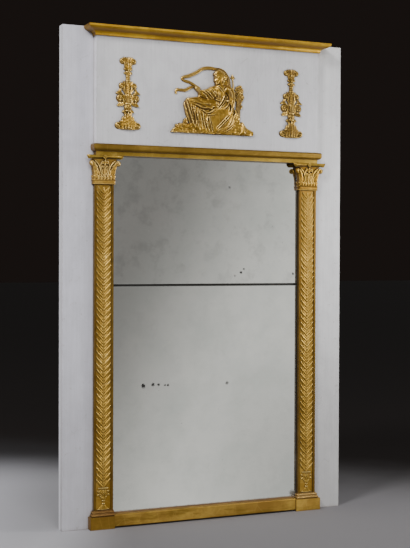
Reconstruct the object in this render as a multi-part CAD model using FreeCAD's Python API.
import math
import os

import FreeCAD
import Part

V = FreeCAD.Vector

# Overall sizes in mm. X runs along the width, -Y faces the room, Z is up.
HEIGHT = 1800.0
WIDTH = 1130.0
FACE_Y = 13.0
BOARD_T = 22.0
BACK_FRAME_T = 18.0
BACK_Y = FACE_Y + BOARD_T + BACK_FRAME_T

# Glass opening and its rebate
OPEN_HALF = 378.0
OPEN_LOW = 49.0
OPEN_HIGH = 1347.0
REBATE = 10.0
GLASS_SETBACK = 3.0
GLASS_T = 4.0
GLASS_JOINT_Z = 875.5
JOINT_GAP = 1.0
SLIP_W = 4.0
BACKBOARD_T = 8.0

# Pilasters
SHAFT_OUTER = 451.0
SHAFT_W = 73.0
SHAFT_X = SHAFT_OUTER - SHAFT_W / 2
SHAFT_PROUD = 14.0
SHAFT_LOW = 66.0
SHAFT_HIGH = 1238.0
BORDER = 8.0
TOP_BORDER = 3.0
PANEL_DEPTH = 4.0
PLINTH_HALF = 53.0
PLINTH_PROUD = 30.0
PLINTH_H = 45.0
LEFT_INNER_X = -376.0
CAPITAL_HIGH = 1327.0
ABACUS_T = 14.0
HORN_REACH = 69.0
HORN_PROUD = 34.0

# Frieze box and mouldings
FRIEZE_HALF = 449.0
FRIEZE_PROUD = 28.0
FRIEZE_T = 14.0
RETURN_T = 12.0
STRIP_LOW = CAPITAL_HIGH + ABACUS_T
STRIP_H = 14.0
STRIP_PROUD = 26.0
MOULD_LOW = STRIP_LOW + STRIP_H
MOULD_H = 26.0
MOULD_REACH = 12.0
CORNICE_LOW = 1766.0
CORNICE_REACH = 38.0
RAIL_RIGHT = SHAFT_X - PLINTH_HALF
RAIL_LOW = 5.0
RAIL_HIGH = 49.5
RAIL_PROUD = 25.0

# Leaf sprays in the shaft panels
LEAF_PITCH = 22.0
LEAF_LENGTH = 35.0
LEAF_WIDTH = 13.0
LEAF_RISE = 3.4
LEAF_ANGLE = 40.0
SPRAY_LOW = 149.0

# Back frame and wall plates
STILE_W = 65.0
BACK_RAIL_H = 70.0
PLATE_W = 30.0
PLATE_H = 70.0
PLATE_T = 3.0
PLATE_Z = 1640.0
PLATE_X = WIDTH / 2 - STILE_W / 2
KEYHOLE_R = 6.5
KEYSLOT_W = 6.0
KEYSLOT_RISE = 14.0
SCREW_R = 2.0
SCREW_LENGTH = 16.0


def box(x0, x1, y0, y1, z0, z1):
    return Part.makeBox(x1 - x0, y1 - y0, z1 - z0, V(x0, y0, z0))


def proud_box(x0, x1, proud, z0, z1):
    return box(x0, x1, FACE_Y - proud, FACE_Y, z0, z1)


def fuse(shapes):
    joined = shapes[0].multiFuse(shapes[1:]) if len(shapes) > 1 else shapes[0]
    return joined.removeSplitter()


def mirrored(shape):
    return shape.mirror(V(0, 0, 0), V(1, 0, 0))


def prism(points, direction):
    wire = Part.makePolygon(points + [points[0]])
    return Part.Face(wire).extrude(direction)


def save(name, shape):
    shape.exportStep("parts/" + name + ".step")


def save_pair(name, left_shape):
    save("left_" + name, left_shape)
    save("right_" + name, mirrored(left_shape))


# Boards of the front frame
def glass_rebate():
    return box(-OPEN_HALF - REBATE, OPEN_HALF + REBATE, FACE_Y + GLASS_SETBACK, FACE_Y + BOARD_T,
               OPEN_LOW - REBATE, OPEN_HIGH + REBATE)


def side_board():
    board = box(-WIDTH / 2, -OPEN_HALF, FACE_Y, FACE_Y + BOARD_T, 0, HEIGHT)
    return board.cut(glass_rebate())


def cross_board(z0, z1):
    board = box(-OPEN_HALF, OPEN_HALF, FACE_Y, FACE_Y + BOARD_T, z0, z1)
    return board.cut(glass_rebate())


def make_front_frame():
    save_pair("side_board", side_board())
    save("top_board", cross_board(OPEN_HIGH, HEIGHT))
    save("bottom_board", cross_board(0, OPEN_LOW))


# Back frame with its wall plates
def keyhole(y0, y1, play):
    round_part = Part.makeCylinder(KEYHOLE_R + play, y1 - y0, V(-PLATE_X, y0, PLATE_Z), V(0, 1, 0))
    half = KEYSLOT_W / 2 + play
    slot = box(-PLATE_X - half, -PLATE_X + half, y0, y1, PLATE_Z, PLATE_Z + KEYSLOT_RISE)
    return fuse([round_part, slot])


def wood_screw(z):
    head_r = 2 * SCREW_R
    shank = Part.makeCylinder(SCREW_R, SCREW_LENGTH, V(-PLATE_X, BACK_Y - SCREW_LENGTH, z), V(0, 1, 0))
    head = Part.makeCone(SCREW_R, head_r, SCREW_R, V(-PLATE_X, BACK_Y - SCREW_R, z), V(0, 1, 0))
    return fuse([shank, head])


def plate_screws():
    reach = PLATE_H / 2 - 8
    return [wood_screw(PLATE_Z - reach), wood_screw(PLATE_Z + reach)]


def plate_blank():
    half = PLATE_W / 2
    return box(-PLATE_X - half, -PLATE_X + half, BACK_Y - PLATE_T, BACK_Y,
               PLATE_Z - PLATE_H / 2, PLATE_Z + PLATE_H / 2)


def wall_plate():
    plate = plate_blank().cut(keyhole(BACK_Y - PLATE_T, BACK_Y, 0))
    return plate.cut(Part.makeCompound(plate_screws()))


def back_stile():
    stile = box(-WIDTH / 2, -WIDTH / 2 + STILE_W, FACE_Y + BOARD_T, BACK_Y, 0, HEIGHT)
    pocket = keyhole(BACK_Y - PLATE_T - 12, BACK_Y - PLATE_T, 3)
    stile = stile.cut(plate_blank()).cut(pocket)
    return stile.cut(Part.makeCompound(plate_screws()))


def back_rail(z0, z1):
    reach = WIDTH / 2 - STILE_W
    return box(-reach, reach, FACE_Y + BOARD_T, BACK_Y, z0, z1)


def make_back_frame():
    save_pair("back_stile", back_stile())
    save_pair("wall_plate", wall_plate())
    screws = plate_screws()
    save("plate_screws", Part.makeCompound(screws + [mirrored(s) for s in screws]))
    save("top_back_rail", back_rail(HEIGHT - BACK_RAIL_H, HEIGHT))
    save("frieze_back_rail", back_rail(OPEN_HIGH, OPEN_HIGH + BACK_RAIL_H))
    middle = GLASS_JOINT_Z - BACK_RAIL_H / 2
    save("middle_back_rail", back_rail(middle, middle + BACK_RAIL_H))
    save("bottom_back_rail", back_rail(0, BACK_RAIL_H))


# Two mirror plates, dark slips round them, backboards and glue blocks
def plate_pair(y0, y1, inset):
    half = OPEN_HALF + REBATE - inset
    low = OPEN_LOW - REBATE + inset
    high = OPEN_HIGH + REBATE - inset
    lower = box(-half, half, y0, y1, low, GLASS_JOINT_Z - JOINT_GAP)
    upper = box(-half, half, y0, y1, GLASS_JOINT_Z + JOINT_GAP, high)
    return lower, upper


def make_glass():
    front = FACE_Y + GLASS_SETBACK
    lower, upper = plate_pair(front, front + GLASS_T, 2)
    save("lower_mirror_glass", lower)
    save("upper_mirror_glass", upper)
    lower, upper = plate_pair(front + GLASS_T, front + GLASS_T + BACKBOARD_T, 1)
    save("lower_backboard", lower)
    save("upper_backboard", upper)


def make_slips():
    left = box(-OPEN_HALF, -OPEN_HALF + SLIP_W, FACE_Y, FACE_Y + GLASS_SETBACK, OPEN_LOW, OPEN_HIGH)
    save_pair("glass_slip", left)
    inner = OPEN_HALF - SLIP_W
    for name, z in (("bottom", OPEN_LOW), ("top", OPEN_HIGH - SLIP_W)):
        slip = box(-inner, inner, FACE_Y, FACE_Y + GLASS_SETBACK, z, z + SLIP_W)
        save(name + "_glass_slip", slip)


def make_glue_blocks():
    y0 = FACE_Y + GLASS_SETBACK + GLASS_T + BACKBOARD_T
    edge = OPEN_HALF + REBATE
    blocks = []
    for z in (150, 450, 750, 960, 1250):
        block = box(-edge, -edge + 20, y0, FACE_Y + BOARD_T, z, z + 50)
        blocks += [block, mirrored(block)]
    save("backboard_glue_blocks", Part.makeCompound(blocks))


# Frieze box
def make_frieze():
    front = FACE_Y - FRIEZE_PROUD
    back = front + FRIEZE_T
    save("frieze_panel", box(-FRIEZE_HALF, FRIEZE_HALF, front, back, MOULD_LOW, HEIGHT))
    side = box(-FRIEZE_HALF, -FRIEZE_HALF + RETURN_T, back, FACE_Y, MOULD_LOW, HEIGHT)
    save_pair("frieze_return", side)
    inner = FRIEZE_HALF - RETURN_T
    save("frieze_top_batten", box(-inner, inner, back, FACE_Y, HEIGHT - 30, HEIGHT))
    save("frieze_bottom_batten", box(-inner, inner, back, FACE_Y, MOULD_LOW, MOULD_LOW + 30))


# Mitred mouldings: edges run along the reach from the frieze face and the height
def cornice_edges():
    z = CORNICE_LOW
    top = HEIGHT
    mid = V(CORNICE_REACH * 0.52, 0, z + 16)
    low = V(6, 0, z + 5)
    high = V(CORNICE_REACH, 0, top - 7)
    lower_bow = Part.Arc(low, V(10.5, 0, z + 12.5), mid).toShape()
    upper_hollow = Part.Arc(mid, V(30.5, 0, z + 20), high).toShape()
    points = [high, V(CORNICE_REACH, 0, top), V(0, 0, top), V(0, 0, z), V(6, 0, z), low]
    return [lower_bow, upper_hollow, Part.makePolygon(points)]


def frieze_moulding_edges():
    z = MOULD_LOW
    reach = MOULD_REACH
    low = V(0, 0, z)
    high = V(reach, 0, z + reach)
    bow = Part.Arc(low, V(reach * 0.72, 0, z + reach * 0.3), high).toShape()
    top = z + MOULD_H
    points = [high, V(reach, 0, top - 4), V(reach - 3, 0, top), V(0, 0, top), low]
    return [bow, Part.makePolygon(points)]


def moulding_face(edges):
    parts = [edge for group in edges for edge in group.Edges]
    return Part.Face(Part.Wire(Part.__sortEdges__(parts)))


def mitre_plan(points):
    return prism([V(x, y, 0) for x, y in points], V(0, 0, HEIGHT + 1))


def mitred_front(edges, reach):
    face = moulding_face(edges)
    face.rotate(V(0, 0, 0), V(0, 0, 1), -90)
    face.translate(V(-FRIEZE_HALF - reach, FACE_Y - FRIEZE_PROUD, 0))
    bar = face.extrude(V(2 * (FRIEZE_HALF + reach), 0, 0))
    inner = FACE_Y - FRIEZE_PROUD
    outer = inner - reach
    half = FRIEZE_HALF
    return bar.common(mitre_plan([(-half, inner), (-half - reach, outer), (half + reach, outer), (half, inner)]))


def mitred_return(edges, reach):
    face = moulding_face(edges)
    face.rotate(V(0, 0, 0), V(0, 0, 1), 180)
    face.translate(V(-FRIEZE_HALF, FACE_Y, 0))
    bar = face.extrude(V(0, -FRIEZE_PROUD - reach, 0))
    inner = FACE_Y - FRIEZE_PROUD
    half = FRIEZE_HALF
    plan = [(-half, FACE_Y), (-half - reach, FACE_Y), (-half - reach, inner - reach), (-half, inner)]
    return bar.common(mitre_plan(plan))


def make_mouldings():
    for name, edges, reach in (("cornice", cornice_edges(), CORNICE_REACH),
                               ("frieze_moulding", frieze_moulding_edges(), MOULD_REACH)):
        save(name + "_front", mitred_front(edges, reach))
        save_pair(name + "_return", mitred_return(edges, reach))
    strip = proud_box(-FRIEZE_HALF, FRIEZE_HALF, STRIP_PROUD, STRIP_LOW, MOULD_LOW)
    save("architrave_strip", strip)
    rail = proud_box(LEFT_INNER_X, RAIL_RIGHT, RAIL_PROUD, RAIL_LOW, RAIL_HIGH)
    front_edges = [e for e in rail.Edges if e.BoundBox.YMax < FACE_Y - 1 and e.BoundBox.XLength > 1]
    save("bottom_rail", rail.makeFillet(4, front_edges))


# Pilaster: plinth, base, shaft with sunk panel, capital and abacus
def save_foot_pair(name, left_shape):
    # The left foot ends just past its shaft, the right one has its full width
    rest = box(LEFT_INNER_X, 0, -WIDTH, FACE_Y, 0, HEIGHT)
    save("left_" + name, left_shape.cut(rest))
    save("right_" + name, mirrored(left_shape))


def make_plinth():
    block = proud_box(-SHAFT_X - PLINTH_HALF, -SHAFT_X + PLINTH_HALF, PLINTH_PROUD, 0, PLINTH_H)
    upright = [e for e in block.Edges if e.BoundBox.ZLength > 1 and e.BoundBox.YMax < FACE_Y - 1]
    save_foot_pair("plinth_block", block.makeFillet(3, upright))


def round_slab(overhang, z0, z1, radius):
    half = SHAFT_W / 2 + overhang
    slab = proud_box(-SHAFT_X - half, -SHAFT_X + half, SHAFT_PROUD + overhang, z0, z1)
    if radius == 0:
        return slab
    level = [e for e in slab.Edges if e.BoundBox.ZLength < 0.01 and e.BoundBox.YMin < FACE_Y - 1]
    return slab.makeFillet(radius, level)


def make_base_moulding():
    z = PLINTH_H
    slabs = [round_slab(10, z, z + 9, 4), round_slab(6, z + 9, z + 12, 0), round_slab(7, z + 12, z + 18, 2.5),
             round_slab(3, z + 18, SHAFT_LOW, 0)]
    save_foot_pair("base_moulding", fuse(slabs))


def make_shaft():
    shaft = proud_box(-SHAFT_X - SHAFT_W / 2, -SHAFT_X + SHAFT_W / 2, SHAFT_PROUD, SHAFT_LOW, SHAFT_HIGH)
    half = SHAFT_W / 2 - BORDER
    front = FACE_Y - SHAFT_PROUD
    panel = box(-SHAFT_X - half, -SHAFT_X + half, front, front + PANEL_DEPTH,
                SHAFT_LOW, SHAFT_HIGH - TOP_BORDER)
    save_pair("pilaster_shaft", shaft.cut(panel))


def panel_floor():
    return FACE_Y - SHAFT_PROUD + PANEL_DEPTH


def laurel_leaf(z, side):
    angle = math.radians(LEAF_ANGLE)
    along = V(side * math.cos(angle), 0, math.sin(angle))
    across = V(side * math.sin(angle), 0, -math.cos(angle))
    root = V(-SHAFT_X, panel_floor(), z)
    belly = root + along * (LEAF_LENGTH * 0.5)
    tip = root + along * LEAF_LENGTH
    low = belly + across * (LEAF_WIDTH / 2)
    high = belly - across * (LEAF_WIDTH / 2)
    ridge = belly + V(0, -LEAF_RISE, 0)
    corners = ((root, low, ridge), (low, tip, ridge), (tip, high, ridge), (high, root, ridge))
    faces = [Part.Face(Part.makePolygon([a, b, c, a])) for a, b, c in corners]
    faces.append(Part.Face(Part.makePolygon([root, high, tip, low, root])))
    return Part.Solid(Part.Shell(faces))


def make_leaf_spray():
    top = SHAFT_HIGH - TOP_BORDER - 1
    stem = Part.makeCylinder(2.6, top - 4 - SPRAY_LOW, V(-SHAFT_X, panel_floor(), SPRAY_LOW))
    stem = stem.common(box(-WIDTH, 0, FACE_Y - SHAFT_PROUD - 5, panel_floor(), 0, HEIGHT))
    rise = LEAF_LENGTH * math.sin(math.radians(LEAF_ANGLE))
    count = int((top - rise - SPRAY_LOW) / LEAF_PITCH) + 1
    leaves = [laurel_leaf(SPRAY_LOW + i * LEAF_PITCH, side) for i in range(count) for side in (-1, 1)]
    save_pair("leaf_spray", fuse([stem] + leaves))


def half_turned(points):
    # Points are radius and height
    line = [V(0, 0, points[0][1])] + [V(r, 0, z) for r, z in points] + [V(0, 0, points[-1][1])]
    face = Part.Face(Part.makePolygon(line + [line[0]]))
    return face.revolve(V(0, 0, 0), V(0, 0, 1), -180)


def squeezed(form, factor):
    squeeze = FreeCAD.Matrix()
    squeeze.scale(1, factor, 1)
    return form.transformGeometry(squeeze)


def make_panel_urn():
    foot = SHAFT_LOW + 2
    profile = [(21, foot), (17, foot + 4), (5, foot + 11), (4, foot + 19), (9, foot + 28), (5, foot + 43),
               (7, foot + 47), (21, foot + 60), (24, foot + 67), (15, foot + 73), (19, foot + 75),
               (19, foot + 80)]
    urn = squeezed(half_turned(profile), 0.28)
    urn.translate(V(-SHAFT_X, panel_floor(), 0))
    save_pair("panel_urn", urn)


def section(half, proud, z):
    x = -SHAFT_X
    y = FACE_Y - proud
    return Part.makePolygon([V(x - half, FACE_Y, z), V(x - half, y, z), V(x + half, y, z),
                             V(x + half, FACE_Y, z), V(x - half, FACE_Y, z)])


# Half outline of a lobed leaf as shares of its half width and height
LEAF_LOBES = [(0.5, 0), (1, 0.2), (0.78, 0.34), (1, 0.5), (0.7, 0.64), (0.78, 0.8), (0.3, 1)]


def acanthus_leaf(dx, z, width, height, proud):
    x = -SHAFT_X + dx
    y = FACE_Y - proud
    outline = LEAF_LOBES + [(-a, b) for a, b in reversed(LEAF_LOBES)]
    blade = prism([V(x + width / 2 * a, y, z + height * b) for a, b in outline], V(0, 9, 0))
    rib = Part.makeCylinder(2.2, height - 6, V(x, y, z + 1))
    curl = Part.makeCylinder(5, width * 0.56, V(x - width * 0.28, y + 1, z + height - 5), V(1, 0, 0))
    return [blade, rib, curl]


def corner_volute(side):
    # A short drum below each horn, with a stalk that rises to it
    x = -SHAFT_X + side * (HORN_REACH - 19)
    y = FACE_Y - HORN_PROUD + 12
    across = V(-side, -1, 0)
    drum = Part.makeCylinder(11, 13, V(x, y, CAPITAL_HIGH - 12) - across * 5, across)
    low = V(-SHAFT_X + side * 28, FACE_Y - 18, SHAFT_HIGH + 40)
    high = V(x - side * 4, y + 2, CAPITAL_HIGH - 14)
    stalk = Part.makeCone(3.5, 6, (high - low).Length, low, high - low)
    return [drum, stalk]


def make_capital():
    z = SHAFT_HIGH
    band = Part.makeLoft([section(42, 18, z), section(43, 20, z + 14)], True, True)
    bell = Part.makeLoft([section(39, 16, z + 14), section(40, 17, z + 50), section(43, 20, z + 76),
                          section(47, 24, CAPITAL_HIGH)], True, True)
    forms = [band, bell]
    for offset in (-28, 0, 28):
        forms += acanthus_leaf(offset, z + 14, 26, 36, 22)
    for offset in (-15, 15):
        forms += acanthus_leaf(offset, z + 34, 23, 34, 20.5)
    forms += corner_volute(-1) + corner_volute(1)
    forms.append(Part.makeCylinder(7, 12, V(-SHAFT_X, FACE_Y - 30, CAPITAL_HIGH - 9), V(0, 1, 0)))
    room = box(-WIDTH, 0, -WIDTH, FACE_Y, z, CAPITAL_HIGH)
    save_pair("capital", fuse(forms).common(room))


def make_abacus():
    x = -SHAFT_X
    low = CAPITAL_HIGH
    back_half = 42
    horn = HORN_REACH
    front = FACE_Y - HORN_PROUD

    def at(dx, dy):
        return V(x + dx, dy, low)

    edges = [Part.makeLine(at(-back_half, FACE_Y), at(back_half, FACE_Y)),
             Part.Arc(at(back_half, FACE_Y), at(47, FACE_Y - 16), at(horn, front + 7)).toShape(),
             Part.makeLine(at(horn, front + 7), at(horn - 7, front)),
             Part.Arc(at(horn - 7, front), at(0, front + 9), at(7 - horn, front)).toShape(),
             Part.makeLine(at(7 - horn, front), at(-horn, front + 7)),
             Part.Arc(at(-horn, front + 7), at(-47, FACE_Y - 16), at(-back_half, FACE_Y)).toShape()]
    plate = Part.Face(Part.Wire(edges)).extrude(V(0, 0, ABACUS_T))
    save_pair("abacus", plate)


def make_pilasters():
    make_plinth()
    make_base_moulding()
    make_shaft()
    make_leaf_spray()
    make_panel_urn()
    make_capital()
    make_abacus()


# Applied ornaments on the frieze: round forms lie partly sunk and are cut at the frieze face
SUNK_SHARE = 0.3
ORNAMENT_Z = 1434.0
CANDELABRUM_X = 331.0


def frieze_y():
    return FACE_Y - FRIEZE_PROUD


def on_frieze(solid):
    room = box(-WIDTH, WIDTH, frieze_y() - 60, frieze_y(), MOULD_LOW, HEIGHT)
    return solid.common(room)


def limb(x0, z0, r0, x1, z1, r1):
    # A tapered rod with round ends
    a = V(x0, frieze_y() + SUNK_SHARE * r0, z0)
    b = V(x1, frieze_y() + SUNK_SHARE * r1, z1)
    along = (b - a).normalize()
    out = along.cross(V(along.z, 0, -along.x)).normalize()
    diagonal = math.sqrt(0.5)
    start = Part.Arc(a - along * r0, a + (out - along) * (r0 * diagonal), a + out * r0).toShape()
    end = Part.Arc(b + out * r1, b + (out + along) * (r1 * diagonal), b + along * r1).toShape()
    side = Part.makeLine(a + out * r0, b + out * r1)
    axis = Part.makeLine(b + along * r1, a - along * r0)
    rod = Part.Face(Part.Wire([start, side, end, axis])).revolve(a, along, 360)
    return on_frieze(rod)


def ball(x, z, radius):
    return on_frieze(Part.makeSphere(radius, V(x, frieze_y() + SUNK_SHARE * radius, z), V(0, 1, 0)))


def ring(x, z, radius, tube):
    centre = V(x, frieze_y() + SUNK_SHARE * tube, z)
    return on_frieze(Part.makeTorus(radius, tube, centre, V(0, 1, 0)))


def flat_form(outline, thickness, x=0.0):
    points = [V(x + dx, frieze_y(), ORNAMENT_Z + dz) for dx, dz in outline]
    return prism(points, V(0, -thickness, 0))


def ribbon(path, width, thickness):
    curve = Part.BSplineCurve()
    curve.interpolate([V(dx, 0, dz) for dx, dz in path])
    steps = 10 * (len(path) - 1)
    first, last = curve.FirstParameter, curve.LastParameter
    left, right = [], []
    for i in range(steps + 1):
        t = first + (last - first) * i / steps
        centre = curve.value(t)
        tangent = curve.tangent(t)[0]
        across = V(-tangent.z, 0, tangent.x) * (width / 2)
        left.append((centre.x + across.x, centre.z + across.z))
        right.append((centre.x - across.x, centre.z - across.z))
    return flat_form(left + right[::-1], thickness)


# Candelabrum: a turned stem with three pairs of scrolls
STEM = [(8, 0), (9, 12), (11, 28), (9, 46), (6, 56), (11, 62), (12, 74), (8, 82), (10, 96), (7, 112), (9, 122),
        (4, 132), (4, 168), (7, 172), (4, 177), (5, 206), (9, 222), (12, 240), (5, 246), (3, 262)]
FOOT_LEAVES = [(-24, 1), (-26, 10), (-19, 16), (-22, 30), (-14, 36), (-12, 50), (12, 50), (14, 36), (22, 30),
               (19, 16), (26, 10), (24, 1)]


def scroll_pair(x, side):
    z = ORNAMENT_Z

    def arm(dx0, dz0, r0, dx1, dz1, r1):
        return limb(x + side * dx0, z + dz0, r0, x + side * dx1, z + dz1, r1)

    arms = [arm(16, 6, 4.5, 38, 7, 5), arm(7, 98, 5, 26, 100, 4), arm(33, 98, 4.5, 34, 86, 3),
            arm(38, 120, 4.5, 44, 128, 3), arm(30, 152, 4, 8, 124, 4.5), arm(4, 200, 4, 11, 207, 3),
            arm(4, 215, 4, 11, 222, 3), arm(6, 232, 4.5, 16, 240, 4)]
    rings = [ring(x + side * 37, z + 14, 8, 5), ring(x + side * 29, z + 112, 11, 5),
             ring(x + side * 24, z + 158, 7, 4), ring(x + side * 21, z + 247, 7, 4)]
    return arms + rings


def candelabrum(x):
    stem = half_turned([(r, ORNAMENT_Z + z) for r, z in STEM])
    stem.translate(V(x, frieze_y(), 0))
    return fuse([stem, flat_form(FOOT_LEAVES, 7, x)] + scroll_pair(x, -1) + scroll_pair(x, 1))


# Seated figure on a rock, with a billowing scarf, a staff and a tree stump
ROCK = [(-167, 0), (-163, 6), (-148, 20), (-120, 33), (-95, 40), (-40, 44), (20, 40), (70, 48), (110, 44),
        (122, 51), (140, 34), (163, 4), (167, 0)]
DRAPERY = [(-126, 20), (-118, 84), (-112, 128), (-60, 138), (0, 150), (60, 130), (88, 96), (94, 40), (60, 20),
           (-60, 14)]
SCARF = [(16, 236), (-9, 243), (-37, 239), (-64, 221), (-92, 206), (-116, 197), (-113, 188), (-92, 183),
         (-64, 171), (-30, 158)]
SCARF_END = [(-70, 176), (-92, 166), (-112, 156), (-134, 158), (-146, 146)]
STAFF = [(70, 60), (84, 100), (90, 140), (90, 180), (84, 210), (76, 224)]


def figure_limbs():
    head = [(30, 212, 20, 22, 204, 17), (24, 186, 11, 20, 170, 12)]
    torso = [(16, 156, 27, 30, 122, 29), (34, 116, 32, 50, 82, 34)]
    thighs = [(44, 88, 28, -94, 116, 20), (20, 70, 24, -70, 96, 18)]
    shins = [(-98, 112, 18, -108, 42, 13), (-72, 92, 17, -84, 40, 13)]
    feet = [(-108, 40, 9, -122, 32, 6), (-84, 40, 9, -98, 31, 6)]
    arms = [(44, 164, 12, 72, 132, 10), (72, 130, 10, 60, 100, 8), (-10, 162, 11, -44, 136, 9)]
    return [limb(x0, ORNAMENT_Z + z0, r0, x1, ORNAMENT_Z + z1, r1)
            for x0, z0, r0, x1, z1, r1 in head + torso + thighs + shins + feet + arms]


def figure_relief():
    return fuse([flat_form(ROCK, 7), flat_form(DRAPERY, 6)] + figure_limbs())


def tree_stump():
    tufts = [ball(dx, ORNAMENT_Z + dz, r) for dx, dz, r in
             ((105, 128, 15), (119, 138, 14), (110, 152, 15), (121, 162, 12), (110, 174, 12), (104, 183, 8))]
    trunk = limb(110, ORNAMENT_Z + 40, 13, 108, ORNAMENT_Z + 118, 11)
    return fuse([trunk] + tufts)


def largest(shape):
    return max(shape.Solids, key=lambda solid: solid.Volume)


def make_ornaments():
    save_pair("candelabrum_ornament", candelabrum(-CANDELABRUM_X))
    body = figure_relief()
    stump = largest(tree_stump().cut(body))
    staff = largest(ribbon(STAFF, 6, 6).cut(body).cut(stump))
    scarf = largest(fuse([ribbon(SCARF, 10, 6), ribbon(SCARF_END, 9, 6)]).cut(body))
    save("figure_relief", body)
    save("tree_stump_relief", stump)
    save("staff_relief", staff)
    save("scarf_relief", scarf)


os.makedirs("parts", exist_ok=True)
make_front_frame()
make_back_frame()
make_glass()
make_slips()
make_glue_blocks()
make_frieze()
make_mouldings()
make_pilasters()
make_ornaments()
